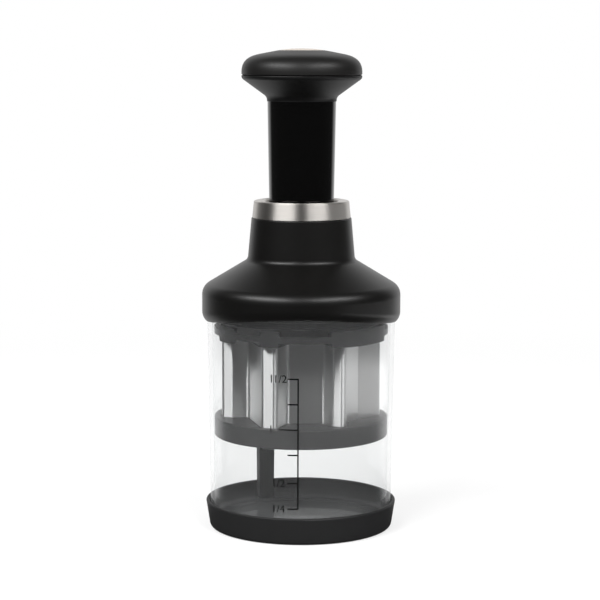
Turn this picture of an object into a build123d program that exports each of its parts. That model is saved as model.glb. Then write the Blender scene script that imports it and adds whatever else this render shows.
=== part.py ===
from build123d import *
import math
import os

# A hand chopper: a palm-sized knob drives a star-shaped blade down through a
# slotted guard into a clear cup. The blade steps round a little at each stroke.
# Millimetres, +Z up, origin at the centre of the base cap's underside.
# The front of the cup, where its scale is printed, looks along -Y.

# ---------------------------------------------------------------- fits
seat_gap = 0.1          # between flat faces that rest on each other
press_gap = 0.05        # around a piece that is pressed or screwed in place
running_gap = 0.06      # around the rod where it slides and turns
sliding_gap = 0.3       # around the loose sliding pieces
past = 1.0              # how far a cutting shape runs past what it cuts

# ---------------------------------------------------------------- base cap
base_floor = 3.0
base_rim_height = 12.7
base_wall = 1.8
base_cup_gap = 0.5
base_flare = 2.0
base_foot_round = 2.0
base_rim_round = 0.7
base_socket_round = 2.4
base_groove_radius = 35.4
base_groove_width = 0.8
base_groove_depth = 0.5

# ---------------------------------------------------------------- cup
cup_height = 101.5
cup_floor_thickness = 2.0
cup_floor_radius = 40.3
cup_widening = 1.4
cup_foot_wall = 1.8
cup_mouth_wall = 2.0
cup_inside_round = 3.5
cup_foot_round = 3.0
cup_rim_round = 0.8

# ---------------------------------------------------------------- blade, its carrier and hub
back_lobe_count = 3
first_lobe_angle = 41.5
lobe_pitch = 51.4
lobe_width = 6.5
lobe_depth = 9.8
lobe_inset = 3.1
lobe_root_flare = 0.15
# The strip's bends round its front, from the left side to the right: the direction of
# each from the axis in degrees, and how far it stands inside the carrier's edge.
front_bends = (
    (177.9, 13.2), (180.3, 3.8), (189.7, 3.5), (194.5, 7.6), (196.7, 15.3), (242.3, 3.0),
    (252.2, 3.2), (254.3, 16.7), (294.7, 15.0), (296.9, 7.6), (302.6, 3.1), (317.5, 12.4),
    (339.7, 12.6), (357.2, 3.9), (6.6, 3.7), (11.5, 12.8))
blade_thickness = 0.7
blade_bend_radius = 1.8
blade_drop = 46.6
blade_seat_depth = 2.2
blade_end_gap = 6.0
blade_floor_gap = 1.1
blade_edge_height = 1.6
blade_edge_thickness = 0.3
carrier_wall_gap = 0.6
carrier_plate = 1.6
carrier_lip_drop = 0.6
carrier_lip_height = 3.0
carrier_lip_width = 3.0
carrier_skirt_drop = 2.8
carrier_skirt_width = 3.2
carrier_tab_height = 7.4
carrier_tab_thickness = 1.8
carrier_tab_top_width = 9.6
carrier_tab_foot_width = 7.6
carrier_tab_round = 0.6
# The tabs at the front: direction in degrees, width at the top and width at the foot.
front_tabs = ((210.9, 13.5, 12.3), (249.4, 9.6, 7.6), (315.7, 36.0, 34.4))
hub_radius = 7.6
hub_flange_radius = 12.5
hub_flange = 0.6
hub_length = 8.1
index_teeth = 14
tooth_depth = 0.9
tooth_gap = 0.4
index_ring_thickness = 1.3
index_ring_bore_radius = 8.0
hub_washer_thickness = 0.8

# ---------------------------------------------------------------- guard
guard_wall_gap = 0.5
guard_carrier_gap = 0.4
guard_height = 9.05
guard_plate = 3.0
guard_wall = 1.5
guard_slot_gap = 0.35
guard_hole_radius = 9.5
guard_rim_round = 0.6
leg_inset = 4.6
leg_thickness = 3.0
leg_top_width = 8.5
leg_foot_width = 7.6
leg_foot_round = 1.2
leg_floor_gap = 0.3
leg_valley = 1
end_gap_valley = 0

# ---------------------------------------------------------------- lid shell and liner
plug_depth = 7.0
plug_cup_gap = 0.7
plug_wall = 1.8
plug_edge_round = 0.8
liner_plate = 1.8
liner_flange = 1.8
tower_radius = 11.0
tower_height = 13.5
seal_radius = 0.75
seal_bite = 0.5
seal_height = 4.0
skirt_gap = 0.6
skirt_wall = 1.7
skirt_arch_rise = 7.5
skirt_front_gap = 3.85
skirt_edge_round = 5.9
shoulder_rise = 7.9
shoulder_round = 6.0
slope_rise = 12.8
slope_wall = 2.7
crease_round = 3.0
neck_top_wall = 2.25
neck_top_round = 0.55
neck_foot_wall = 4.0
boss_circle_radius = 30.0
boss_count = 3
boss_radius = 3.2
boss_start_angle = 90.0
boss_foot_height = 3.0
liner_boss_radius = 4.6
liner_screw_radius = 1.5
liner_screw_length = 9.0
liner_screw_head_radius = 2.8
liner_screw_head = 1.9
counterbore_gap = 0.3

# ---------------------------------------------------------------- plunger
shaft_top_radius = 15.8
shaft_taper = 1.1
shaft_bore_radius = 13.0
shaft_spigot_radius = 14.2
shaft_spigot_height = 6.0
stop_flange_width = 2.7
stop_flange = 1.8
stop_flange_round = 0.4
shaft_floor_gap = 0.5
bumper_thickness = 1.0
bumper_width = 2.6
rod_radius = 4.0
rod_collar_radius = 6.2
rod_collar = 2.0
rod_tail = 1.5
circlip_thickness = 0.8
circlip_groove_depth = 0.6
circlip_radius = 6.0
circlip_mouth = 4.0

# ---------------------------------------------------------------- neck
bush_wall = 2.0
bush_lip = 2.0
bush_length = 20.4
wiper_width = 2.4
ring_height = 7.7
ring_spigot = 3.3
ring_inset = 0.3
ring_taper = 0.8
ring_bore_step = 1.2
ring_bevel = 0.6
ring_foot_round = 0.3
knob_ring_gap = 9.3
rod_bush_wall = 2.0
rod_bush_flange_radius = 8.5
rod_bush_flange = 1.0

# ---------------------------------------------------------------- return spring
wire_radius = 0.7
spring_radius = 8.6
spring_turns = 12
lower_washer_thickness = 0.8
lower_washer_radius = 11.6
upper_washer_thickness = 1.0
upper_washer_radius = 12.6
end_clearance = 0.05

# ---------------------------------------------------------------- knob
knob_radius = 27.7
knob_body_height = 11.8
knob_side_height = 1.4
knob_collar_step = 0.2
knob_collar_height = 1.9
knob_flare_round = 3.0
knob_seam_round = 0.3
knob_lower_bend = 0.98
cushion_height = 12.2
cushion_side_height = 1.3
cushion_shoulder_radius = 17.4
cushion_crown = 2.1
cushion_edge_round = 0.5
core_radius = 19.5
core_height = 4.5
inlay_radius = 10.3
inlay_depth = 1.1
knob_screw_radius = 2.0
knob_screw_length = 18.5
knob_thread_spare = 1.0
knob_screw_head_radius = 3.6
knob_screw_head = 2.4
drive_socket_radius = 1.4
drive_socket_depth = 1.1

cup_mouth_radius = cup_floor_radius + cup_widening

# ---------------------------------------------------------------- heights, worked up from the table
cup_bottom = base_floor + seat_gap
cup_inside_floor = cup_bottom + cup_floor_thickness
cup_rim = cup_bottom + cup_height
flange_bottom = cup_rim + seat_gap
flange_top = flange_bottom + liner_flange
plug_bottom = flange_bottom - plug_depth
liner_plate_top = plug_bottom + liner_plate
index_ring_bottom = plug_bottom - index_ring_thickness - tooth_depth
hub_top = index_ring_bottom - tooth_gap
carrier_plate_top = hub_top - tooth_depth - hub_flange
carrier_plate_bottom = carrier_plate_top - carrier_plate
carrier_bottom = carrier_plate_bottom - carrier_skirt_drop
blade_top = carrier_bottom + blade_seat_depth
blade_edge = carrier_bottom - blade_drop
stroke = blade_edge - cup_inside_floor - blade_floor_gap
guard_top = carrier_bottom - stroke - guard_carrier_gap
guard_bottom = guard_top - guard_height
hub_bottom = carrier_plate_top - hub_length
hub_washer_bottom = hub_bottom - hub_washer_thickness
circlip_bottom = hub_washer_bottom - circlip_thickness
rod_bottom = circlip_bottom - rod_tail
tower_top = liner_plate_top + tower_height
spring_bottom = tower_top + rod_bush_flange + lower_washer_thickness
shaft_bottom = liner_plate_top + stroke + shaft_floor_gap
stop_flange_top = shaft_bottom + stop_flange
bumper_top = stop_flange_top + bumper_thickness
lip_bottom = bumper_top + sliding_gap
lip_top = lip_bottom + bush_lip
neck_top = lip_top + ring_spigot
ring_top = neck_top + ring_height
knob_bottom = ring_top + stroke + knob_ring_gap
shaft_top = knob_bottom + shaft_spigot_height
spring_top = shaft_top - upper_washer_thickness
seam = knob_bottom + knob_body_height
cushion_bottom = seam + seat_gap
knob_top = cushion_bottom + cushion_height - seat_gap
core_top = seam + core_height
shoulder = flange_bottom + shoulder_rise
crease = shoulder + slope_rise
skirt_arch_top = flange_bottom - skirt_front_gap


def cup_inside_radius(height):
    """The cup's inner radius, which widens steadily from floor to rim."""
    rise = (height - cup_inside_floor) / (cup_rim - cup_inside_floor)
    return cup_floor_radius + (cup_mouth_radius - cup_floor_radius) * rise


def shaft_radius(height):
    """The shaft's outer radius, which shrinks steadily below the knob."""
    fall = (knob_bottom - height) / (knob_bottom - shaft_bottom)
    return shaft_top_radius - shaft_taper * fall


# ---------------------------------------------------------------- radii, each from what it fits
cup_foot_radius = cup_floor_radius + cup_foot_wall
cup_rim_radius = cup_mouth_radius + cup_mouth_wall
base_socket_radius = cup_foot_radius + base_cup_gap
base_rim_radius = base_socket_radius + base_wall
carrier_radius = min(cup_inside_radius(carrier_bottom - stroke), cup_mouth_radius) - carrier_wall_gap
lobe_reach = carrier_radius - lobe_inset
valley_reach = lobe_reach - lobe_depth
guard_radius = cup_inside_radius(guard_bottom) - guard_wall_gap
plug_radius = cup_mouth_radius - plug_cup_gap
skirt_bore_radius = cup_rim_radius + skirt_gap
lid_radius = skirt_bore_radius + skirt_wall
liner_flange_radius = skirt_bore_radius - seat_gap
lip_radius = shaft_radius(lip_top + stroke) + sliding_gap
stop_flange_radius = shaft_top_radius + stop_flange_width
bush_bore_radius = stop_flange_radius + sliding_gap
bush_radius = bush_bore_radius + bush_wall
neck_bore_radius = bush_radius + press_gap
neck_top_radius = neck_bore_radius + neck_top_wall
neck_foot_radius = neck_bore_radius + neck_foot_wall
ring_foot_radius = neck_top_radius - ring_inset
ring_bore_radius = lip_radius + ring_bore_step
wiper_radius = lip_radius + wiper_width
rod_bore_radius = rod_radius + running_gap
rod_bush_radius = rod_bore_radius + rod_bush_wall
knob_collar_radius = shaft_top_radius + knob_collar_step
knob_flare_rise = knob_body_height - knob_collar_height - knob_side_height
knob_flare_turn = math.atan2(knob_radius - knob_collar_radius, knob_flare_rise)
knob_lower_round = knob_lower_bend / math.tan(knob_flare_turn / 2)


# ---------------------------------------------------------------- shared shapes
def outline(*corners):
    """A closed flat face from (x, y) corners; a third number rounds that corner."""
    face = make_face(Polyline(*[corner[:2] for corner in corners], close=True))
    for corner in corners:
        if len(corner) == 3:
            nearest = face.vertices().sort_by_distance((corner[0], corner[1], 0))[0]
            face = fillet(nearest, corner[2])
    return face


def turned(face):
    """A face drawn as (radius, height), turned once round the chopper's axis."""
    return revolve(Plane.XZ * face, axis=Axis.Z)


def disc(radius, bottom, top):
    """An upright solid cylinder on the axis."""
    return Pos(0, 0, bottom) * extrude(Circle(radius), amount=top - bottom)


def ring(outer_radius, inner_radius, bottom, top):
    """An upright ring on the axis."""
    return disc(outer_radius, bottom, top) - disc(inner_radius, bottom - past, top + past)


def lobe_angle(index):
    """The direction of one of the even lobes at the back of the star."""
    return first_lobe_angle + index * lobe_pitch


def valley_angle(index):
    """The direction of the valley that follows a lobe at the back of the star."""
    return lobe_angle(index + 0.5)


def star_face(spread):
    """The star that the blade follows, grown or shrunk by a distance."""
    corners = []
    for index in range(back_lobe_count):
        lobe = Rot(0, 0, lobe_angle(index))
        for reach, side in ((valley_reach, -1), (lobe_reach, -1), (lobe_reach, 1), (valley_reach, 1)):
            half_width = lobe_width / 2 + (lobe_root_flare if reach == valley_reach else 0)
            corners.append((lobe * Pos(reach, side * half_width, 0)).position)
    for angle, inset in front_bends:
        corners.append((Rot(0, 0, angle) * Pos(carrier_radius - inset, 0, 0)).position)
    face = make_face(Polyline(*corners, close=True))
    face = fillet(face.vertices(), blade_bend_radius)
    return offset(face, amount=spread, kind=Kind.ARC) if spread else face


def star_band(half_thickness, bottom, top):
    """An upright wall of even thickness that follows the star."""
    band = star_face(half_thickness) - star_face(-half_thickness)
    return Pos(0, 0, bottom) * extrude(band, amount=top - bottom)


def end_gap(width, bottom, top):
    """The upright slot across the star's wall where the blade's two ends face each other."""
    block = Box(lobe_depth, width, top - bottom, align=(Align.CENTER, Align.CENTER, Align.MIN))
    return Rot(0, 0, valley_angle(end_gap_valley)) * Pos(valley_reach, 0, bottom) * block


def saw_teeth(radius, bore, tip, sign):
    """A crown of ramped notches: sign 1 for a crown that points up, -1 for one that points down."""
    tooth_width = 2 * math.pi * radius / index_teeth
    notch = outline((0, 0), (tooth_width, 0), (tooth_width, -sign * tooth_depth))
    notch = extrude(Plane.YZ * notch, amount=radius - bore + 2 * past)
    notches = [Rot(0, 0, index * 360 / index_teeth) * Pos(bore - past, 0, tip) * notch
               for index in range(index_teeth)]
    return Part() + notches


def screw(radius, length, head_radius, head):
    """A plain-shanked screw, head up, its head's underside at the origin."""
    body = Pos(0, 0, -length) * extrude(Circle(radius), amount=length)
    body += extrude(Circle(head_radius), amount=head)
    top_edge = body.edges().filter_by(GeomType.CIRCLE).sort_by(Axis.Z)[-1]
    body = fillet(top_edge, head / 3)
    socket = extrude(RegularPolygon(drive_socket_radius, 6), amount=drive_socket_depth)
    return body - Pos(0, 0, head - drive_socket_depth) * socket


# ---------------------------------------------------------------- base cap and cup
def make_base_cap():
    foot = base_rim_radius - base_flare
    cap = turned(outline(
        (0, 0),
        (foot, 0, base_foot_round),
        (base_rim_radius, base_rim_height, base_rim_round),
        (base_socket_radius, base_rim_height, base_rim_round),
        (base_socket_radius, base_floor, base_socket_round),
        (0, base_floor)))
    groove_top = base_floor + past
    return cap - ring(base_groove_radius + base_groove_width / 2,
                      base_groove_radius - base_groove_width / 2,
                      base_floor - base_groove_depth, groove_top)


def make_cup():
    return turned(outline(
        (0, cup_bottom),
        (cup_foot_radius, cup_bottom, cup_foot_round),
        (cup_rim_radius, cup_rim, cup_rim_round),
        (cup_mouth_radius, cup_rim, cup_rim_round),
        (cup_floor_radius, cup_inside_floor, cup_inside_round),
        (0, cup_inside_floor)))


# ---------------------------------------------------------------- head: lid, liner and neck
def boss_places(height):
    """Where the liner's screws stand."""
    return [Rot(0, 0, boss_start_angle + index * 360 / boss_count) * Pos(boss_circle_radius, 0, height)
            for index in range(boss_count)]


def make_lid_shell():
    below = plug_bottom - lid_radius / 4
    solid = turned(outline(
        (0, below),
        (lid_radius, below),
        (lid_radius, shoulder, shoulder_round),
        (neck_foot_radius, crease, crease_round),
        (neck_top_radius, neck_top, neck_top_round),
        (0, neck_top)))
    arch_radius = (lid_radius ** 2 + skirt_arch_rise ** 2) / (2 * skirt_arch_rise)
    arch = Rot(90, 0, 0) * Cylinder(arch_radius, 4 * lid_radius)
    solid -= Pos(0, 0, skirt_arch_top - arch_radius) * arch
    low_edges = solid.edges().filter_by(lambda line: line.bounding_box().max.Z < skirt_arch_top + past)
    solid = fillet(low_edges.sort_by(SortBy.LENGTH)[-1], skirt_edge_round)
    cavity = turned(outline(
        (0, below - past),
        (skirt_bore_radius, below - past),
        (skirt_bore_radius, shoulder - slope_wall / 2, shoulder_round - skirt_wall),
        (neck_bore_radius, crease - slope_wall / 2),
        (neck_bore_radius, neck_top + past),
        (0, neck_top + past)))
    boss_bottom = liner_plate_top + boss_foot_height
    bosses = Part() + [place * extrude(Circle(boss_radius), amount=neck_top - boss_bottom)
                       for place in boss_places(boss_bottom)]
    slope_space = turned(outline(
        (neck_bore_radius, boss_bottom),
        (skirt_bore_radius, boss_bottom),
        (skirt_bore_radius, shoulder - slope_wall / 2),
        (neck_bore_radius, crease - slope_wall / 2)))
    shell = solid - cavity + (bosses & slope_space)
    pilots = [place * extrude(Circle(liner_screw_radius + press_gap), amount=liner_screw_length)
              for place in boss_places(boss_bottom)]
    return shell - (Part() + pilots)


def make_lid_liner():
    plug_bore = plug_radius - plug_wall
    seal_centre = plug_bottom + seal_height
    liner = turned(outline(
        (rod_bush_radius + press_gap, plug_bottom),
        (plug_radius, plug_bottom, plug_edge_round),
        (plug_radius, flange_bottom),
        (liner_flange_radius, flange_bottom),
        (liner_flange_radius, flange_top),
        (plug_bore, flange_top),
        (plug_bore, liner_plate_top),
        (tower_radius, liner_plate_top),
        (tower_radius, tower_top),
        (rod_bush_radius + press_gap, tower_top)))
    bosses = Part() + [place * extrude(Circle(liner_boss_radius), amount=boss_foot_height)
                       for place in boss_places(liner_plate_top)]
    liner += bosses
    head_depth = liner_screw_head + counterbore_gap
    holes = [place * extrude(Circle(liner_screw_head_radius + counterbore_gap), amount=head_depth)
             for place in boss_places(plug_bottom)]
    holes += [place * extrude(Circle(liner_screw_radius + counterbore_gap), amount=tower_height)
              for place in boss_places(plug_bottom)]
    liner -= Part() + holes
    half_groove = seal_radius + press_gap
    groove_floor = plug_radius + seal_bite - 2 * half_groove
    return liner - ring(plug_radius + past, groove_floor, seal_centre - half_groove, seal_centre + half_groove)


def make_cup_seal():
    section_centre = Pos(plug_radius + seal_bite - seal_radius, plug_bottom + seal_height)
    return turned(section_centre * Circle(seal_radius))


def make_liner_screws():
    head_seat = plug_bottom + liner_screw_head + counterbore_gap
    one = screw(liner_screw_radius, liner_screw_length, liner_screw_head_radius, liner_screw_head)
    turned_over = Rot(180, 0, 0) * one
    return Part() + [place * turned_over for place in boss_places(head_seat)]


def make_neck_bush():
    return turned(outline(
        (lip_radius, lip_bottom),
        (bush_bore_radius, lip_bottom),
        (bush_bore_radius, lip_top - bush_length),
        (bush_radius, lip_top - bush_length),
        (bush_radius, lip_top),
        (lip_radius, lip_top)))


def make_shaft_wiper():
    return ring(wiper_radius, lip_radius, lip_top, neck_top - seat_gap)


def make_neck_ring():
    return turned(outline(
        (wiper_radius + press_gap, lip_top),
        (bush_radius, lip_top),
        (bush_radius, neck_top),
        (ring_foot_radius, neck_top, ring_foot_round),
        (ring_foot_radius - ring_taper, ring_top, ring_bevel),
        (ring_bore_radius, ring_top, ring_bevel),
        (ring_bore_radius, neck_top),
        (wiper_radius + press_gap, neck_top)))


def make_rod_bush():
    return turned(outline(
        (rod_bore_radius, plug_bottom),
        (rod_bush_radius, plug_bottom),
        (rod_bush_radius, tower_top),
        (rod_bush_flange_radius, tower_top),
        (rod_bush_flange_radius, tower_top + rod_bush_flange),
        (rod_bore_radius, tower_top + rod_bush_flange)))


def make_index_ring():
    body = ring(hub_flange_radius, index_ring_bore_radius, index_ring_bottom, plug_bottom)
    return body - saw_teeth(hub_flange_radius, index_ring_bore_radius, index_ring_bottom, -1)


# ---------------------------------------------------------------- spring
def helix_point(turns, pitch):
    """A point on the spring's centre line and the direction of the wire there."""
    angle = 2 * math.pi * turns
    start = spring_bottom + wire_radius + end_clearance
    across, back = spring_radius * math.cos(angle), spring_radius * math.sin(angle)
    direction = Vector(-back, across, pitch / (2 * math.pi))
    return Vector(across, back, start + pitch * turns), direction.normalized()


def make_return_spring():
    """One round wire wound in even turns, drawn as pairs of arcs, a quarter turn each pair."""
    travel = spring_top - spring_bottom - 2 * (wire_radius + end_clearance)
    pitch = travel / spring_turns
    arcs = []
    for quarter in range(4 * spring_turns):
        start, start_way = helix_point(quarter / 4, pitch)
        end, end_way = helix_point((quarter + 1) / 4, pitch)
        across = end - start
        along = across.dot(start_way + end_way)
        turn = 2 * (1 - start_way.dot(end_way))
        reach = (math.sqrt(along ** 2 + turn * across.dot(across)) - along) / turn
        middle = (start + end + (start_way - end_way) * reach) * 0.5
        first = Edge.make_tangent_arc(start, start_way, middle)
        arcs += [first, Edge.make_tangent_arc(middle, first % 1, end)]
    start, start_way = helix_point(0, pitch)
    path = Wire(arcs)
    print("spring: least gap between turns", round(pitch - 2 * wire_radius, 2))
    return sweep(Plane(origin=start, z_dir=start_way) * Circle(wire_radius), path=path)


def make_lower_washer():
    return ring(lower_washer_radius, rod_bush_radius, tower_top + rod_bush_flange, spring_bottom)


def make_upper_washer():
    return ring(upper_washer_radius, rod_radius + sliding_gap, spring_top, shaft_top)


# ---------------------------------------------------------------- plunger
def make_plunger_sleeve():
    return turned(outline(
        (shaft_bore_radius, shaft_bottom),
        (stop_flange_radius, shaft_bottom, stop_flange_round),
        (stop_flange_radius, stop_flange_top),
        (shaft_radius(stop_flange_top), stop_flange_top),
        (shaft_top_radius, knob_bottom),
        (shaft_spigot_radius, knob_bottom),
        (shaft_spigot_radius, shaft_top),
        (shaft_bore_radius, shaft_top)))


def make_sleeve_bumper():
    bore = shaft_radius(bumper_top) + press_gap
    return ring(bore + bumper_width, bore, stop_flange_top, bumper_top)


def make_plunger_rod():
    rod = disc(rod_radius, rod_bottom, shaft_top)
    rod += disc(rod_collar_radius, hub_top, hub_top + rod_collar)
    groove_radius = rod_radius - circlip_groove_depth
    rod -= ring(rod_radius + past, groove_radius, circlip_bottom, hub_washer_bottom)
    thread_depth = knob_screw_length - (knob_screw_seat() - shaft_top) + knob_thread_spare
    return rod - disc(knob_screw_radius + press_gap, shaft_top - thread_depth, shaft_top + past)


def knob_screw_seat():
    """The height of the face that the knob's screw pulls on."""
    return seam


def make_knob_body():
    body = turned(outline(
        (0, shaft_top),
        (shaft_spigot_radius + press_gap, shaft_top),
        (shaft_spigot_radius + press_gap, knob_bottom),
        (knob_collar_radius, knob_bottom),
        (knob_collar_radius, knob_bottom + knob_collar_height, knob_flare_round),
        (knob_radius, seam - knob_side_height, knob_lower_round),
        (knob_radius, seam, knob_seam_round),
        (core_radius, seam),
        (core_radius, core_top, cushion_edge_round),
        (0, core_top)))
    body -= disc(knob_screw_head_radius + counterbore_gap, knob_screw_seat(), core_top + past)
    return body - disc(knob_screw_radius + press_gap, shaft_top - past, core_top)


def make_knob_screw():
    one = screw(knob_screw_radius, knob_screw_length, knob_screw_head_radius, knob_screw_head)
    return Pos(0, 0, knob_screw_seat()) * one


def dome():
    """The cushion's full outer form, crowned on top and rounded at its shoulder."""
    side_top = cushion_bottom + cushion_side_height
    crown = Spline((0, knob_top), (cushion_shoulder_radius, knob_top - cushion_crown),
                   (knob_radius, side_top), tangents=[(1, 0), (0, -1)])
    rest = Polyline((knob_radius, side_top), (knob_radius, cushion_bottom + cushion_edge_round),
                    (knob_radius - cushion_edge_round, cushion_bottom), (0, cushion_bottom), (0, knob_top))
    return turned(make_face([crown, rest]))


def make_knob_cushion():
    cushion = dome() - disc(core_radius + press_gap, cushion_bottom - past, core_top + seat_gap)
    return cushion - disc(inlay_radius + press_gap, knob_top - inlay_depth - seat_gap, knob_top + past)


def make_knob_inlay():
    return dome() & disc(inlay_radius, knob_top - inlay_depth, knob_top + past)


# ---------------------------------------------------------------- blade unit
def make_blade():
    half = blade_thickness / 2
    strip = star_band(half, blade_edge + blade_edge_height, blade_top)
    strip += star_band(blade_edge_thickness / 2, blade_edge, blade_edge + blade_edge_height)
    return strip - end_gap(blade_end_gap, blade_edge - past, blade_top + past)


def make_blade_carrier():
    lip_bottom_height = carrier_plate_bottom - carrier_lip_drop
    carrier = ring(carrier_radius, carrier_radius - carrier_lip_width, lip_bottom_height,
                   lip_bottom_height + carrier_lip_height)
    carrier += disc(carrier_radius - carrier_lip_width / 2, carrier_plate_bottom, carrier_plate_top)
    carrier += star_band(carrier_skirt_width / 2, carrier_bottom, carrier_plate_bottom)
    carrier += make_carrier_tabs()
    carrier -= star_band(blade_thickness / 2 + press_gap, carrier_bottom - past, blade_top)
    return carrier - disc(hub_radius + press_gap, carrier_bottom - past, carrier_plate_top + past)


def carrier_tab(angle, top_width, foot_width):
    """A tapered tab on the carrier's rim, in front of a bend of the strip.

    The ring it is cut from is turned half round, so that the ring's seam stays clear of it.
    """
    tab_outline = outline(
        (-foot_width / 2, carrier_bottom, carrier_tab_round),
        (foot_width / 2, carrier_bottom, carrier_tab_round),
        (top_width / 2, carrier_bottom + carrier_tab_height, carrier_tab_round),
        (-top_width / 2, carrier_bottom + carrier_tab_height, carrier_tab_round))
    rim = ring(carrier_radius, carrier_radius - carrier_tab_thickness, carrier_bottom,
               carrier_bottom + carrier_tab_height)
    tab = (Rot(0, 0, 180) * rim) & extrude(Plane.YZ * tab_outline,
                                           amount=carrier_radius + past)
    return Rot(0, 0, angle) * tab


def make_carrier_tabs():
    tabs = [carrier_tab(lobe_angle(index), carrier_tab_top_width, carrier_tab_foot_width)
            for index in range(back_lobe_count)]
    return Part() + tabs + [carrier_tab(*tab) for tab in front_tabs]


def make_index_hub():
    hub = disc(hub_radius, hub_bottom, carrier_plate_top + tooth_depth)
    hub += disc(hub_flange_radius, carrier_plate_top, hub_top)
    hub -= disc(rod_bore_radius, hub_bottom - past, hub_top + past)
    return hub - saw_teeth(hub_flange_radius, index_ring_bore_radius, hub_top, 1)


def make_hub_washer():
    return ring(hub_radius, rod_radius + sliding_gap, hub_washer_bottom, hub_bottom)


def make_rod_circlip():
    clip = ring(circlip_radius, rod_radius - circlip_groove_depth + press_gap,
                circlip_bottom + press_gap, hub_washer_bottom - press_gap)
    mouth = Box(2 * circlip_radius, circlip_mouth, 4 * circlip_thickness)
    return clip - Pos(-circlip_radius, 0, circlip_bottom) * mouth


# ---------------------------------------------------------------- guard
def make_guard_ring():
    guard = disc(guard_radius, guard_bottom, guard_top)
    rims = guard.edges().filter_by(GeomType.CIRCLE)
    guard = fillet(rims, guard_rim_round)
    plate_bottom = guard_top - guard_plate
    guard -= disc(guard_radius - guard_wall, guard_bottom - past, plate_bottom)
    slot = star_band(blade_thickness / 2 + guard_slot_gap, guard_bottom - past, guard_top + past)
    bridge_width = blade_end_gap - 2 * guard_slot_gap
    guard -= slot - end_gap(bridge_width, guard_bottom - 2 * past, guard_top + 2 * past)
    guard -= disc(guard_hole_radius, guard_bottom - past, guard_top + past)
    leg_foot = cup_inside_floor + leg_floor_gap
    leg_outline = outline(
        (-leg_foot_width / 2, leg_foot, leg_foot_round),
        (leg_foot_width / 2, leg_foot, leg_foot_round),
        (leg_top_width / 2, plate_bottom + seat_gap),
        (-leg_top_width / 2, plate_bottom + seat_gap))
    leg = extrude(Plane.YZ * leg_outline, amount=leg_thickness)
    leg_place = Rot(0, 0, valley_angle(leg_valley)) * Pos(guard_radius - leg_inset - leg_thickness / 2, 0, 0)
    return guard + leg_place * leg


# ---------------------------------------------------------------- write one file for each piece
makers = {
    "base_cap": make_base_cap,
    "cup": make_cup,
    "lid_shell": make_lid_shell,
    "lid_liner": make_lid_liner,
    "cup_seal": make_cup_seal,
    "liner_screws": make_liner_screws,
    "neck_bush": make_neck_bush,
    "shaft_wiper": make_shaft_wiper,
    "neck_ring": make_neck_ring,
    "rod_bush": make_rod_bush,
    "index_ring": make_index_ring,
    "return_spring": make_return_spring,
    "lower_spring_washer": make_lower_washer,
    "upper_spring_washer": make_upper_washer,
    "plunger_sleeve": make_plunger_sleeve,
    "sleeve_bumper": make_sleeve_bumper,
    "plunger_rod": make_plunger_rod,
    "knob_body": make_knob_body,
    "knob_screw": make_knob_screw,
    "knob_cushion": make_knob_cushion,
    "knob_inlay": make_knob_inlay,
    "blade": make_blade,
    "blade_carrier": make_blade_carrier,
    "index_hub": make_index_hub,
    "hub_washer": make_hub_washer,
    "rod_circlip": make_rod_circlip,
    "guard_ring": make_guard_ring,
}

os.makedirs("parts", exist_ok=True)
print("stroke", round(stroke, 2), "height", round(knob_top, 2))
for name, maker in makers.items():
    export_step(maker(), f"parts/{name}.step")
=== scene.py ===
import math

import bpy
from mathutils import Matrix, Vector


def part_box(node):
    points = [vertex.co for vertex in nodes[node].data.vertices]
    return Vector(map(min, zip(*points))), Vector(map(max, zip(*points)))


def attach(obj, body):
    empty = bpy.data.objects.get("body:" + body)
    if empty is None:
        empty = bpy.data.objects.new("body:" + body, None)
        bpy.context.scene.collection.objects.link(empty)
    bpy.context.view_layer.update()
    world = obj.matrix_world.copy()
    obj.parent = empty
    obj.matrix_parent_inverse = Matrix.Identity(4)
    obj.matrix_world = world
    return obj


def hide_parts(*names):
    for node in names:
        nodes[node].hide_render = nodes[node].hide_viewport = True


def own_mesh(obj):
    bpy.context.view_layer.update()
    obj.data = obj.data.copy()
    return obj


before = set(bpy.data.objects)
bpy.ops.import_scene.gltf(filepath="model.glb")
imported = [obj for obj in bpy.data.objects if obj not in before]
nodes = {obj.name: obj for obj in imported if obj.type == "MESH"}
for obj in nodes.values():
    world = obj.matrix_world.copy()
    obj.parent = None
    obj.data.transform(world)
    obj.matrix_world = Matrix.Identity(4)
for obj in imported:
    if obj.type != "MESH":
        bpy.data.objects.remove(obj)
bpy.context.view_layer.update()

# Dresses the hand chopper's imported solids: a finish for every piece, the
# printed scale on the cup, a wound return spring in place of the solid one, a
# plain studio and a camera. Metres, +Z up; the front of the cup faces -Y.

bpy.ops.object.select_all(action="DESELECT")
scene = bpy.context.scene
mm = 0.001


# ---------------------------------------------------------------- writing materials as sums
class Term:
    """One output of a node, which sums and products can be written with."""

    def __init__(self, sheet, socket):
        self.sheet = sheet
        self.socket = socket

    def __add__(self, other):
        return self.sheet.maths("ADD", self, other)

    def __sub__(self, other):
        return self.sheet.maths("SUBTRACT", self, other)

    def __rsub__(self, other):
        return self.sheet.maths("SUBTRACT", other, self)

    def __mul__(self, other):
        return self.sheet.maths("MULTIPLY", self, other)

    def __pow__(self, other):
        return self.sheet.maths("POWER", self, other)

    __radd__ = __add__
    __rmul__ = __mul__


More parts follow.
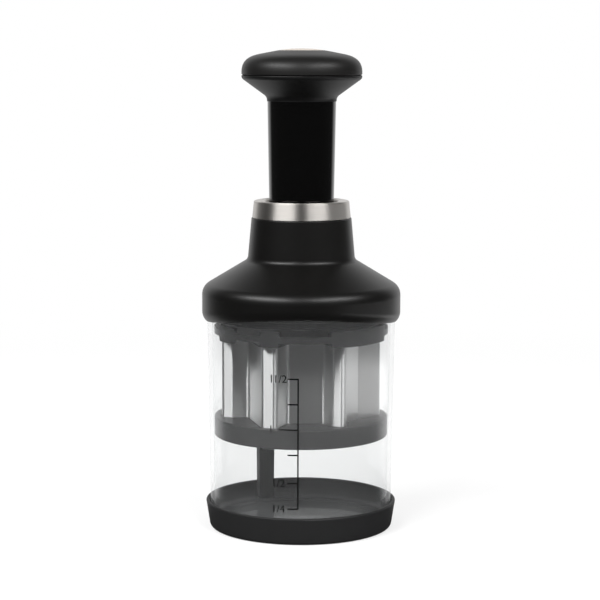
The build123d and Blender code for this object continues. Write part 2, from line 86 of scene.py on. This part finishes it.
class Sheet:
    """A node tree that is being written, for a finish or for the studio's light."""

    def __init__(self, owner):
        owner.use_nodes = True
        self.owner = owner
        self.tree = owner.node_tree
        self.tree.nodes.clear()

    def node(self, kind, settings=None, sockets=None, output=0):
        """Adds a node, sets it up, feeds its sockets and gives one of its outputs."""
        made = self.tree.nodes.new("ShaderNode" + kind)
        for name, value in (settings or {}).items():
            setattr(made, name, value)
        for name, value in (sockets or {}).items():
            self.feed(made.inputs[name], value)
        return Term(self, made.outputs[output])

    def feed(self, socket, value):
        """Links a term to a socket, or sets the socket to a plain value."""
        if isinstance(value, Term):
            self.tree.links.new(value.socket, socket)
        elif isinstance(value, tuple) and len(value) == 3 and socket.type == "RGBA":
            socket.default_value = (*value, 1.0)
        else:
            socket.default_value = value

    def maths(self, operation, first, second):
        return self.node("Math", {"operation": operation}, {0: first, 1: second})

    def blend(self, amount, first, second):
        """A colour part of the way from the first to the second."""
        return self.node("Mix", {"data_type": "RGBA"}, {0: amount, 6: first, 7: second}, 2)

    def point(self):
        """The point on the piece, in metres."""
        return self.node("TexCoord", output="Object")

    def along(self, axis, point):
        """How far a point lies along one axis."""
        return self.node("SeparateXYZ", {}, {0: point}, axis)

    def length(self, vector):
        return self.node("VectorMath", {"operation": "LENGTH"}, {0: vector}, "Value")

    def noise(self, scale, detail=2.0, stretch=(1.0, 1.0, 1.0), vector=None):
        """Even random mottling from 0 to 1, so many patches to the metre."""
        where = vector or self.node("Mapping", {}, {"Vector": self.point(), "Scale": stretch})
        return self.node("TexNoise", {}, {"Vector": where, "Scale": scale, "Detail": detail}, "Fac")

    def steps(self, value, low, high):
        """0 below low, 1 above high and a soft slope between."""
        ends = {"Value": value, "From Min": low, "From Max": high}
        return self.node("MapRange", {"interpolation_type": "SMOOTHSTEP"}, ends)

    def relief(self, height, depth):
        """A surface that rises and falls by depth, in metres."""
        return self.node("Bump", {}, {"Height": height, "Distance": depth, "Strength": 1.0})

    def mix(self, amount, first, second):
        """A shader part of the way from the first to the second."""
        return self.node("MixShader", {}, {0: amount, 1: first, 2: second})

    def white_glow(self, kind, strength):
        """White light of its own, from a surface or from the world."""
        return self.node(kind, {}, {"Color": (1.0, 1.0, 1.0), "Strength": strength})

    def skin(self, sockets):
        return self.node("BsdfPrincipled", {}, sockets)

    def end(self, shader):
        """Sends a shader to the output and gives back the material or world."""
        kind = "OutputWorld" if isinstance(self.owner, bpy.types.World) else "OutputMaterial"
        last = self.tree.nodes.new("ShaderNode" + kind)
        self.tree.links.new(shader.socket, last.inputs["Surface"])
        return self.owner


def new_finish(name):
    return Sheet(bpy.data.materials.new(name))


def times(colour, share):
    """A colour made lighter or darker, never past white."""
    return tuple(min(part * share, 1.0) for part in colour)


# ---------------------------------------------------------------- finishes
quarter_turn = 0.25
plastic_grain = 2600.0
brush_lines = 5200.0
brush_drift = 55.0
roll_lines = 5000.0
scratch_lines = 1500.0
floor_ends = 7.0 * mm
wall_starts = 10.0 * mm


def moulded(name, colour, roughness, depth=0.012 * mm, mottle=0.16, shine=0.5):
    """Moulded plastic with a fine even grain and a little unevenness in its gloss."""
    sheet = new_finish(name)
    broad = sheet.noise(60.0, 3.0)
    fine = sheet.noise(plastic_grain, 3.0)
    tone = broad * 0.5 + fine * 0.5
    light = times(colour, 1 + mottle)
    dark = times(colour, 1 - mottle)
    gloss = roughness - 0.04 + broad * 0.05 + fine * 0.03
    shader = sheet.skin({
        "Base Color": sheet.blend(tone, dark, light),
        "Roughness": gloss,
        "Specular IOR Level": shine,
        "Normal": sheet.relief(fine, depth)})
    return sheet.end(shader)


def polished(name, colour, roughness, drag, shine):
    """Glossy plastic, with faint flow marks and lengthwise drag marks from sliding."""
    sheet = new_finish(name)
    flow = sheet.noise(45.0, 2.0, (1.0, 1.0, 0.25))
    marks = sheet.noise(900.0, 2.0, (1.0, 1.0, 0.01))
    gloss = roughness + flow * 0.03 + marks * drag
    shader = sheet.skin({
        "Base Color": sheet.blend(flow, colour, times(colour, 1.25)),
        "Roughness": gloss,
        "Specular IOR Level": shine,
        "Normal": sheet.relief(flow, 0.02 * mm)})
    return sheet.end(shader)


def brushed(name, colour, roughness, spread):
    """Steel brushed round the axis, with level lines that widen reflections up and down."""
    sheet = new_finish(name)
    point = sheet.point()
    flat = sheet.node("VectorMath", {"operation": "MULTIPLY"}, {0: point, 1: (1.0, 1.0, 0.0)})
    across = sheet.along("Z", point) * brush_lines + sheet.length(flat) * brush_lines
    lines = sheet.node("CombineXYZ", {}, {
        "X": sheet.along("X", point) * brush_drift,
        "Y": sheet.along("Y", point) * brush_drift,
        "Z": across})
    streak = sheet.noise(1.0, 3.0, vector=lines)
    cloud = sheet.noise(70.0, 2.0)
    shader = sheet.skin({
        "Base Color": sheet.blend(streak, times(colour, 0.9), times(colour, 1.1)),
        "Metallic": 1.0,
        "Roughness": roughness - 0.05 + streak * 0.08 + cloud * 0.03,
        "Anisotropic": spread,
        "Anisotropic Rotation": quarter_turn,
        "Normal": sheet.relief(streak, 0.0012 * mm)})
    return sheet.end(shader)


def rolled(name, colour, roughness, spread):
    """Bright rolled strip, with level lines that widen reflections up and down."""
    sheet = new_finish(name)
    streak = sheet.noise(roll_lines, 2.0, (0.006, 0.006, 1.0))
    cloud = sheet.noise(55.0, 2.0)
    shader = sheet.skin({
        "Base Color": sheet.blend(streak, times(colour, 0.95), colour),
        "Metallic": 1.0,
        "Roughness": roughness + cloud * 0.04,
        "Anisotropic": spread,
        "Anisotropic Rotation": quarter_turn,
        "Normal": sheet.relief(streak, 0.002 * mm)})
    return sheet.end(shader)


def drawn(name, colour, roughness):
    """Plain steel with faint scratches that run two ways."""
    sheet = new_finish(name)
    one_way = sheet.noise(scratch_lines, 4.0, (1.0, 0.08, 1.0))
    other_way = sheet.noise(scratch_lines, 4.0, (0.08, 1.0, 1.0))
    scratch = one_way * 0.5 + other_way * 0.5
    shader = sheet.skin({
        "Base Color": sheet.blend(scratch, times(colour, 0.86), colour),
        "Metallic": 1.0,
        "Roughness": roughness + scratch * 0.1,
        "Normal": sheet.relief(scratch, 0.002 * mm)})
    return sheet.end(shader)


def clear_wall(name, veil, tint):
    """Clear moulded plastic that lets light straight on.

    It has a thin veil, thicker at its outline and in its floor, and a gloss that grows at the edges.
    """
    sheet = new_finish(name)
    cloud = sheet.noise(38.0, 2.0)
    edge = sheet.node("LayerWeight", {}, {"Blend": 0.5}, "Facing")
    wall = sheet.steps(sheet.along("Z", sheet.point()), floor_ends, wall_starts)
    mirror = 0.035 + (edge ** 5.0) * (0.10 + wall * 0.20)
    outline = (edge ** 7.0) * wall * 0.35
    cloudy = cloud * (veil * 0.3) + veil * 0.85 + outline + (1.0 - wall) * 0.03
    ripple = sheet.relief(sheet.noise(22.0, 1.0, (1.0, 1.0, 0.5)), 0.02 * mm)
    through = sheet.node("BsdfTransparent", {}, {"Color": tint})
    haze = sheet.skin({
        "Base Color": (0.86, 0.87, 0.88), "Roughness": 1.0, "Specular IOR Level": 0.0})
    gloss = sheet.skin({
        "Base Color": (1.0, 1.0, 1.0), "Metallic": 1.0, "Roughness": 0.06, "Normal": ripple})
    return sheet.end(sheet.mix(mirror, sheet.mix(cloudy, through, haze), gloss))


finishes = {
    "cap_plastic": moulded("cap_plastic", (0.0115, 0.0115, 0.0120), 0.56, shine=0.3),
    "cup_clear": clear_wall("cup_clear", 0.013, (0.972, 0.975, 0.975)),
    "shell_plastic": moulded(
        "shell_plastic", (0.0023, 0.0021, 0.0019), 0.38, depth=0.018 * mm, shine=0.33),
    "liner_plastic": moulded("liner_plastic", (0.0062, 0.0062, 0.0064), 0.50),
    "seal_rubber": moulded("seal_rubber", (0.030, 0.030, 0.031), 0.7, shine=0.35),
    "steel_ring": brushed("steel_ring", (0.62, 0.595, 0.565), 0.50, spread=0.98),
    "blade_steel": rolled("blade_steel", (0.86, 0.86, 0.86), 0.42, spread=0.99),
    "inner_steel": drawn("inner_steel", (0.52, 0.52, 0.52), 0.28),
    "spring_steel": drawn("spring_steel", (0.47, 0.47, 0.46), 0.34),
    "shaft_plastic": polished("shaft_plastic", (0.0006, 0.0006, 0.0006), 0.05, drag=0.02, shine=0.36),
    "knob_plastic": moulded("knob_plastic", (0.0016, 0.0016, 0.0017), 0.50, shine=0.36),
    "knob_soft": moulded("knob_soft", (0.0050, 0.0047, 0.0044), 0.46, shine=0.32),
    "inlay_plastic": moulded("inlay_plastic", (0.44, 0.39, 0.34), 0.45, mottle=0.05),
    "carrier_plastic": moulded("carrier_plastic", (0.0130, 0.0130, 0.0135), 0.42),
    "bearing_plastic": moulded("bearing_plastic", (0.72, 0.70, 0.64), 0.40, mottle=0.04),
    "guard_plastic": moulded("guard_plastic", (0.0340, 0.0340, 0.0345), 0.46),
}
print_ink = moulded("print_ink", (0.0020, 0.0018, 0.0016), 0.6, mottle=0.1, shine=0.12)

# the finish of each piece, by node
finish_of = {
    "base_cap": "cap_plastic", "cup": "cup_clear", "lid_shell": "shell_plastic",
    "lid_liner": "liner_plastic", "cup_seal": "seal_rubber", "liner_screws": "inner_steel",
    "neck_bush": "bearing_plastic", "shaft_wiper": "seal_rubber", "neck_ring": "steel_ring",
    "rod_bush": "bearing_plastic", "index_ring": "bearing_plastic", "return_spring": "spring_steel",
    "lower_spring_washer": "inner_steel", "upper_spring_washer": "inner_steel",
    "plunger_sleeve": "shaft_plastic", "sleeve_bumper": "seal_rubber", "plunger_rod": "inner_steel",
    "knob_body": "knob_plastic", "knob_screw": "inner_steel", "knob_cushion": "knob_soft",
    "knob_inlay": "inlay_plastic", "blade": "blade_steel", "blade_carrier": "carrier_plastic",
    "index_hub": "bearing_plastic", "hub_washer": "inner_steel", "rod_circlip": "inner_steel",
    "guard_ring": "guard_plastic",
}
for name, finish in finish_of.items():
    nodes[name].data.materials.clear()
    nodes[name].data.materials.append(finishes[finish])


# ---------------------------------------------------------------- shared mesh work
def edit_all():
    bpy.ops.object.mode_set(mode="EDIT")
    bpy.ops.mesh.select_all(action="SELECT")


def end_edit():
    bpy.ops.object.mode_set(mode="OBJECT")
    bpy.ops.object.select_all(action="DESELECT")


def make_active(piece):
    piece.select_set(True)
    bpy.context.view_layer.objects.active = piece


def apply_all(piece):
    """Applies the piece's place and every modifier on it."""
    bpy.ops.object.select_all(action="DESELECT")
    make_active(piece)
    bpy.ops.object.transform_apply(location=True, rotation=True, scale=True)
    for modifier in list(piece.modifiers):
        bpy.ops.object.modifier_apply(modifier=modifier.name)
    bpy.ops.object.select_all(action="DESELECT")


def dress(piece, name, finish):
    """Names a piece made here and gives it its one finish."""
    piece.name = name
    piece.data.name = name
    piece.data.materials.clear()
    piece.data.materials.append(finish)


# ---------------------------------------------------------------- the cup's printed scale
scale_line = -1.3 * mm
mark_levels = (16.8 * mm, 28.6 * mm, 41.5 * mm, 53.0 * mm, 64.6 * mm, 76.1 * mm)
long_mark = 3
line_width = 0.66 * mm
short_tick = 4.7 * mm
long_tick = 8.7 * mm
bend_length = 0.6 * mm
figure_height = 3.5 * mm
print_distance = 60 * mm
ink_lift = 0.04 * mm
ink_depth = 0.05 * mm
# the mark a figure stands at, its characters, its width or None, and its right end
figures = (
    (0, "1/4", 5.1 * mm, -7.2 * mm), (1, "1/2", 5.1 * mm, -7.2 * mm),
    (3, "1", None, -13.2 * mm), (5, "1", None, -13.0 * mm), (5, "1/2", 5.1 * mm, -6.4 * mm))


def stroke(left, right, low, high):
    """A flat bar of ink in front of the cup, cut into short lengths so that it can bend."""
    pieces = max(1, round((right - left) / bend_length))
    bpy.ops.mesh.primitive_grid_add(
        x_subdivisions=pieces, y_subdivisions=1, size=1,
        location=((left + right) / 2, 0, (low + high) / 2), rotation=(math.pi / 2, 0, 0))
    bar = bpy.context.object
    edit_all()
    bpy.ops.transform.resize(value=(right - left, 1, high - low))
    end_edit()
    return bar


def figure(words, width, right, level):
    """A plain number, made to a width and height, its right end and its middle in place."""
    bpy.ops.object.text_add(location=(0, 0, 0))
    letters = bpy.context.object
    letters.data.body = words
    letters.data.resolution_u = 6
    bpy.ops.object.convert(target="MESH")
    letters = bpy.context.object
    corners = [vertex.co for vertex in letters.data.vertices]
    low = Vector(map(min, *corners))
    high = Vector(map(max, *corners))
    grow = figure_height / (high.y - low.y)
    stretch = (width / (high.x - low.x) if width else grow, grow, 1)
    edit_all()
    bpy.ops.transform.translate(value=-(low + high) / 2)
    bpy.ops.transform.resize(value=stretch, center_override=(0, 0, 0))
    bpy.ops.transform.rotate(value=-math.pi / 2, orient_axis="X", center_override=(0, 0, 0))
    half = (high.x - low.x) * stretch[0] / 2
    bpy.ops.transform.translate(value=(right - half, 0, level))
    end_edit()
    return letters


def printed_scale():
    """The upright line, its ticks and its plain numbers, laid on the cup's wall as thin ink."""
    half = line_width / 2
    marks = [stroke(scale_line - half, scale_line + half, mark_levels[0] - half, mark_levels[-1] + half)]
    for index, level in enumerate(mark_levels):
        reach = long_tick if index == long_mark else short_tick
        marks.append(stroke(scale_line - reach, scale_line - half, level - half, level + half))
    for index, words, width, right in figures:
        marks.append(figure(words, width, right, mark_levels[index]))
    for mark in marks:
        mark.select_set(True)
    bpy.context.view_layer.objects.active = marks[0]
    bpy.ops.object.join()
    ink = bpy.context.object
    bpy.ops.object.transform_apply(location=True, rotation=True, scale=True)
    edit_all()
    bpy.ops.transform.translate(value=(0, -print_distance, 0))
    end_edit()
    wrap = ink.modifiers.new("wrap", "SHRINKWRAP")
    wrap.target = nodes["cup"]
    wrap.wrap_method = "PROJECT"
    wrap.use_project_y = True
    wrap.use_positive_direction = True
    wrap.offset = ink_lift
    apply_all(ink)
    body = ink.modifiers.new("body", "SOLIDIFY")
    body.thickness = ink_depth
    body.offset = 1
    apply_all(ink)
    dress(ink, "cup_scale", print_ink)
    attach(ink, "cup")


printed_scale()


# ---------------------------------------------------------------- return spring
spring_radius = 8.6 * mm
wire_radius = 0.7 * mm
wire_sides = 12
spring_turns = 12
steps_a_turn = 40


def coil_spring():
    """The return spring wound as a coil of wire, set on the head in place of the solid one."""
    low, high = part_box("return_spring")
    rise = high.z - low.z - 2 * wire_radius
    bpy.ops.mesh.primitive_circle_add(
        vertices=wire_sides, radius=wire_radius, rotation=(math.pi / 2, 0, 0),
        location=(spring_radius, 0, low.z + wire_radius))
    coil = bpy.context.object
    bpy.ops.object.transform_apply(location=True, rotation=True, scale=True)
    wind = coil.modifiers.new("wind", "SCREW")
    wind.axis = "Z"
    wind.angle = 2 * math.pi
    wind.screw_offset = rise / spring_turns
    wind.iterations = spring_turns
    wind.steps = steps_a_turn
    wind.render_steps = steps_a_turn
    apply_all(coil)
    make_active(coil)
    edit_all()
    bpy.ops.mesh.fill_holes(sides=0)
    bpy.ops.mesh.select_all(action="SELECT")
    bpy.ops.mesh.normals_make_consistent(inside=False)
    end_edit()
    bpy.ops.object.shade_smooth_by_angle()
    dress(coil, "return_spring_coil", finishes["spring_steel"])
    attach(coil, "head")
    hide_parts("return_spring")
    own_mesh(coil)


coil_spring()


# ---------------------------------------------------------------- studio
floor_radius = 6.0
floor_level = -0.05 * mm
fade_starts, fade_ends = 0.25, 0.70
backdrop_low, backdrop_high = 0.55, 0.80
dim_floor = 0.08
dim_room = 0.06
room_light = 0.55
card_light = 2.8
lamp_rise = 42
lamp_distance = 1.1
lamp_height = 0.28
lamp_aim = Vector((0, 0, 0.13))


def studio_floor():
    """A pale floor that takes a soft shadow near the piece and fades to plain white.

    Mirrored in the piece it is dim, but white far behind, with a bright card at its right.
    """
    bpy.ops.mesh.primitive_circle_add(
        vertices=96, radius=floor_radius, fill_type="NGON", location=(0, 0, floor_level))
    ground = bpy.context.object
    apply_all(ground)
    ground.name = "floor"
    sheet = new_finish("floor")
    point = sheet.point()
    reach = sheet.length(point)
    paper = sheet.skin({
        "Base Color": (0.93, 0.93, 0.93), "Roughness": 0.9, "Specular IOR Level": 0.1})
    camera_ray = sheet.node("LightPath", output="Is Camera Ray")
    fade = (0.55 + sheet.steps(reach, fade_starts, fade_ends) * 0.45) * camera_ray
    seen = sheet.mix(fade, paper, sheet.white_glow("Emission", 1.0))
    behind = sheet.maths("DIVIDE", sheet.along("Y", point), reach)
    beside = sheet.maths("DIVIDE", sheet.along("X", point), reach)
    near = 1.0 - sheet.steps(reach, 0.35, 0.60)
    card = sheet.steps(beside, 0.62, 0.85) * sheet.steps(reach, 0.26, 0.34)
    card = card * (1.0 - sheet.steps(reach, 0.44, 0.54))
    white_part = sheet.steps(behind + near * 0.30, backdrop_low, backdrop_high)
    level = dim_floor + white_part * (1.0 - dim_floor)
    level = sheet.maths("MAXIMUM", level, card * card_light)
    glossy_ray = sheet.node("LightPath", output="Is Glossy Ray")
    shader = sheet.mix(glossy_ray, seen, sheet.white_glow("Emission", level))
    ground.data.materials.append(sheet.end(shader))


def studio_light():
    """An even dim room that the camera sees as white, and glossy pieces as white behind only."""
    world = bpy.data.worlds.new("studio")
    scene.world = world
    sheet = Sheet(world)
    camera_ray = sheet.node("LightPath", output="Is Camera Ray")
    seen = sheet.maths("MAXIMUM", camera_ray, sheet.node("LightPath", output="Is Transmission Ray"))
    mirrored = sheet.node("LightPath", output="Is Glossy Ray")
    behind = sheet.along("Y", sheet.node("TexCoord", output="Generated"))
    backdrop = dim_room + sheet.steps(behind, backdrop_low, backdrop_high) * (1.0 - dim_room)
    level = room_light + mirrored * (backdrop - room_light)
    level = level + seen * (1.0 - level)
    sheet.end(sheet.white_glow("Background", level))


def lamp(name, turn, width, power):
    """A soft rectangular lamp, raised and turned so many degrees round from the front."""
    turn = math.radians(turn)
    rise = math.radians(lamp_rise)
    level_part = math.cos(rise)
    away = Vector((math.sin(turn) * level_part, -math.cos(turn) * level_part, math.sin(rise)))
    bpy.ops.object.light_add(type="AREA", location=lamp_aim + away * lamp_distance)
    light = bpy.context.object
    light.name = name
    light.data.shape = "RECTANGLE"
    light.data.size = width
    light.data.size_y = lamp_height
    light.data.energy = power
    light.rotation_euler = away.to_track_quat("Z", "Y").to_euler()
    bpy.ops.object.select_all(action="DESELECT")


studio_floor()
studio_light()
lamp("left_lamp", -47, 0.93, 13.0)
lamp("right_lamp", 44, 0.85, 9.5)


# ---------------------------------------------------------------- camera
camera_place = (-0.58 * mm, -930 * mm, 226 * mm)
camera_dip = 7.34
camera_lean = 0.16
camera_lens = 121.1

tilt = Matrix.Rotation(math.radians(90 - camera_dip), 4, "X")
lean = Matrix.Rotation(math.radians(camera_lean), 4, "Z")
bpy.ops.object.camera_add(location=camera_place)
camera = bpy.context.object
camera.rotation_euler = (tilt @ lean).to_euler()
camera.name = "camera"
camera.data.lens = camera_lens
camera.data.sensor_width = 36.0
camera.data.clip_start = 0.05
camera.data.clip_end = 30.0
scene.camera = camera

scene.view_settings.view_transform = "Standard"
